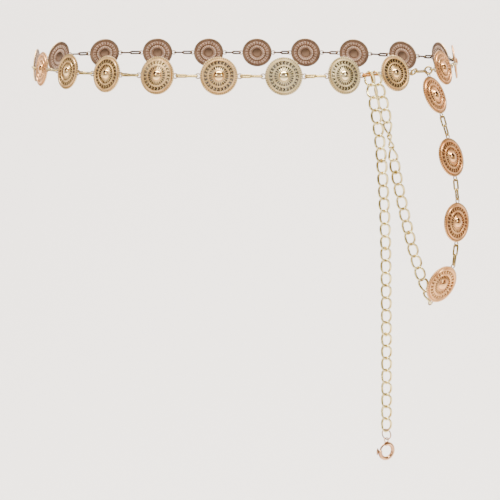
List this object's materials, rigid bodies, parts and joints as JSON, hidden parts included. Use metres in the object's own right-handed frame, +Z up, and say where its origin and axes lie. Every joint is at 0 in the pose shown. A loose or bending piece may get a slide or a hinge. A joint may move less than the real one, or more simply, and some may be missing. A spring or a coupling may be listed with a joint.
{
  "type": "medallion chain belt",
  "caption": "Gold-toned belt of round openwork medallions and wire links, worn on the hips, with a hanging strand, curb chains and a spring ring clasp.",
  "frame": {"origin": "middle of the waist ring, at its middle height as it is worn", "axes": "+Z up, +X to the side where the strand and the chains hang, front at -Y"},
  "size_m": [0.3386, 0.231, 0.3128],
  "materials": {
    "champagne_gold": "plated, polished, lightly worn",
    "warm_gold": "plated, polished",
    "rose_gold": "plated, polished, coppery",
    "pale_gold": "plated, polished, pale",
    "clasp_gold": "plated, polished"
  },
  "bodies": {
    "belt": {"waist_medallion_01": "champagne_gold", "waist_medallion_02": "champagne_gold", "waist_medallion_03": "champagne_gold", "waist_medallion_04": "champagne_gold", "waist_medallion_05": "champagne_gold", "waist_medallion_06": "champagne_gold", "waist_medallion_07": "champagne_gold", "waist_medallion_08": "champagne_gold", "waist_medallion_09": "champagne_gold", "waist_medallion_10": "champagne_gold", "waist_medallion_11": "champagne_gold", "waist_medallion_12": "champagne_gold", "waist_medallion_13": "champagne_gold", "waist_medallion_14": "champagne_gold", "waist_medallion_15": "champagne_gold", "waist_medallion_16": "champagne_gold", "waist_medallion_17": "champagne_gold", "waist_medallion_18": "champagne_gold", "waist_medallion_19": "champagne_gold", "waist_medallion_20": "champagne_gold", "connector_01": "warm_gold", "connector_02": "warm_gold", "connector_05": "warm_gold", "connector_06": "warm_gold", "connector_07": "warm_gold", "connector_08": "warm_gold", "connector_09": "warm_gold", "connector_10": "warm_gold", "connector_11": "warm_gold", "connector_12": "warm_gold", "connector_13": "warm_gold", "connector_14": "warm_gold", "connector_15": "warm_gold", "connector_16": "warm_gold", "connector_17": "warm_gold", "connector_18": "warm_gold", "connector_19": "warm_gold", "connector_20": "warm_gold", "closure_connector": "warm_gold", "drop_rings": "warm_gold", "drop_medallion_1": "rose_gold", "drop_medallion_2": "rose_gold", "drop_medallion_3": "rose_gold", "drop_medallion_4": "rose_gold", "drop_connector_1": "pale_gold", "drop_connector_2": "pale_gold", "drop_connector_3": "pale_gold", "long_chain_1": "pale_gold", "long_chain_2": "pale_gold", "long_chain_3": "pale_gold", "long_chain_4": "pale_gold", "return_chain_1": "pale_gold", "return_chain_2": "pale_gold", "return_chain_3": "pale_gold", "jump_ring": "warm_gold"},
    "clasp": {"clasp_body": "clasp_gold"},
    "bolt": {"clasp_bolt": "clasp_gold"}
  },
  "joints": [
    {"name": "clasp_swing", "type": "hinge", "parent": "belt", "child": "clasp", "pos_m": [0.10746, -0.108, -0.27402], "axis": [0.5, -0.866, 0], "range_deg": [-60, 60]},
    {"name": "clasp_trigger", "type": "hinge", "parent": "clasp", "child": "bolt", "pos_m": [0.10771, -0.10786, -0.28289], "axis": [0.5, -0.866, 0], "range_deg": [0, 72], "stiffness_Nm_per_rad": 0.001, "springref_deg": -28.65}
  ]
}
